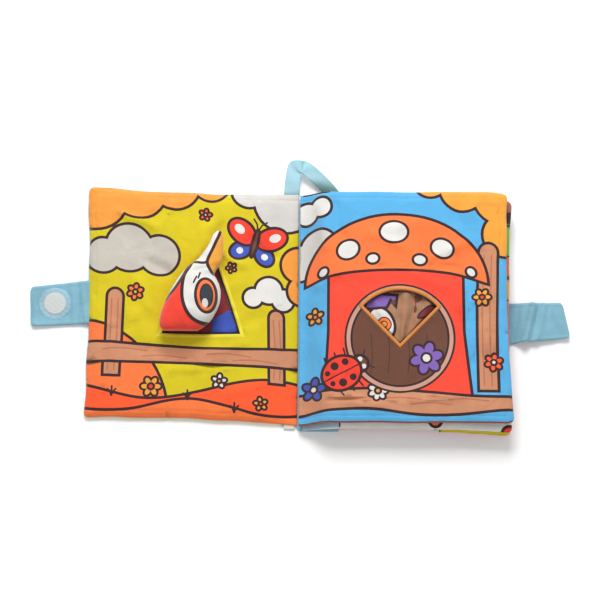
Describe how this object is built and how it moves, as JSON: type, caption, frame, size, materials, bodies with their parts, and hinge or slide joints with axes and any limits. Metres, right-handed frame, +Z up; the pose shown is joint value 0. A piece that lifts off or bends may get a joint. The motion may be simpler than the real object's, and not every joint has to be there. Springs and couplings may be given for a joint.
{
  "type": "cloth activity book",
  "caption": "Padded cloth book that lies open, with two covers, a stack of soft leaves, closing straps, a ribbon handle, a stuffed head in a pocket and a window",
  "frame": {"origin": "under the fold, halfway up the page, on the surface that the open book lies on", "axes": "+X from the fold to the leaves' fore edge, +Y to the head of the page, +Z up"},
  "size_m": [0.409, 0.212, 0.0291],
  "materials": {
    "printed_cloth": "printed plain-weave polyester over soft wadding",
    "strap_cloth": "light blue plain-weave polyester, doubled",
    "touch_fastener": "white hook and loop",
    "lining_cloth": "red and blue printed cloth",
    "head_cloth": "printed soft cloth, stuffed",
    "beak_cloth": "printed soft cloth, stuffed",
    "spine_cloth": "light blue cloth",
    "page_cloth": "printed plain-weave polyester over soft wadding",
    "binding_tape": "tan woven binding tape",
    "pouch_cloth": "brown printed cloth",
    "ribbon": "light blue woven ribbon",
    "label_satin": "white satin label, blank",
    "back_cloth": "printed plain-weave polyester over soft wadding"
  },
  "bodies": {
    "leaves": {"spine": "spine_cloth", "pages": "page_cloth", "window_binding": "binding_tape", "tucked_pouch": "pouch_cloth", "handle": "ribbon", "care_label": "label_satin"},
    "front": {"front_cover": "printed_cloth", "front_strap": "strap_cloth", "loop_dot": "touch_fastener", "pocket_lining": "lining_cloth", "bird_head": "head_cloth", "bird_beak": "beak_cloth"},
    "back": {"back_cover": "back_cloth", "back_strap": "strap_cloth", "hook_dot": "touch_fastener"}
  },
  "joints": [
    {"name": "front_cover_hinge", "type": "hinge", "parent": "leaves", "child": "front", "pos_m": [0, 0, 0.0164], "axis": [0, 1, 0], "range_deg": [0, 180], "deforming": ["bird_head", "bird_beak"]},
    {"name": "back_cover_hinge", "type": "hinge", "parent": "leaves", "child": "back", "pos_m": [0.031, 0, -0.00015], "axis": [0, 1, 0], "range_deg": [0, 178]}
  ]
}
